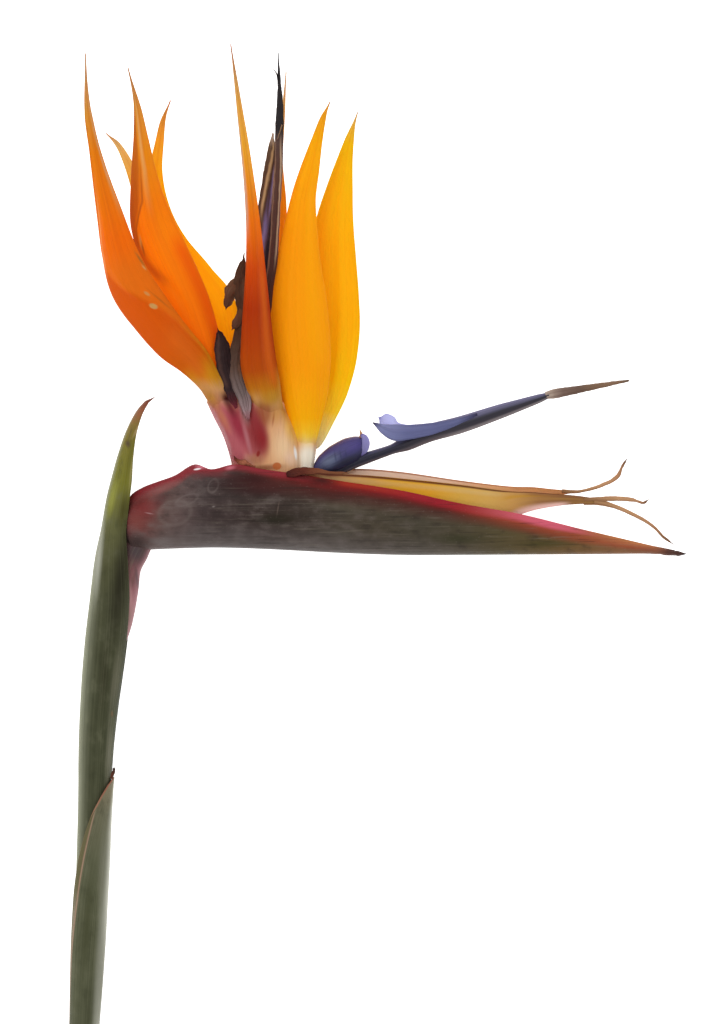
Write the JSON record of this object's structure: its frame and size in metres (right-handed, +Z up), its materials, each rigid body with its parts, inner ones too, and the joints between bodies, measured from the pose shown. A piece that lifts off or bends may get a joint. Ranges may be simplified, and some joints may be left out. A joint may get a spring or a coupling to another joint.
{
  "type": "bird of paradise flower",
  "caption": "Cut bird of paradise flower lying on its side: orange sepals, blue tongue and dried petals rising from a beak-like spathe on a sheathed stem.",
  "frame": {"origin": "middle of the footprint, on the surface that the cut flower lies on", "axes": "+X along the beak towards its point, +Y from the cut end of the stem towards the sepals' tips, +Z up from the surface"},
  "size_m": [0.1877, 0.337, 0.0333],
  "materials": {
    "stem_green": "satin",
    "sheath_green": "satin",
    "beak_skin": "satin",
    "claw_flesh": "satin",
    "sepal_orange": "satin",
    "sepal_amber": "satin",
    "petal_indigo": "satin",
    "style_brown": "matte",
    "withered_petal": "matte",
    "dry_bract": "matte"
  },
  "bodies": {
    "root": {"stem": "stem_green", "sheath_upper": "sheath_green", "sheath_lower": "sheath_green", "spathe": "beak_skin", "floret_base_left": "claw_flesh", "floret_base_middle": "claw_flesh", "floret_base_right": "claw_flesh", "sepal_left_front": "sepal_orange", "sepal_left_second": "sepal_orange", "sepal_left_third": "sepal_amber", "sepal_left_back": "sepal_amber", "sepal_middle_front": "sepal_orange", "sepal_middle_back": "sepal_orange", "sepal_right_front": "sepal_amber", "sepal_right_back": "sepal_amber", "dry_tongue_black": "withered_petal", "dry_tongue_brown": "withered_petal", "dry_petal_left": "withered_petal", "dry_petal_twisted": "withered_petal", "tongue_fresh": "petal_indigo", "style_fresh": "style_brown", "hood_petal": "petal_indigo", "bracteole_far": "dry_bract", "bracteole_near": "dry_bract"}
  },
  "joints": []
}
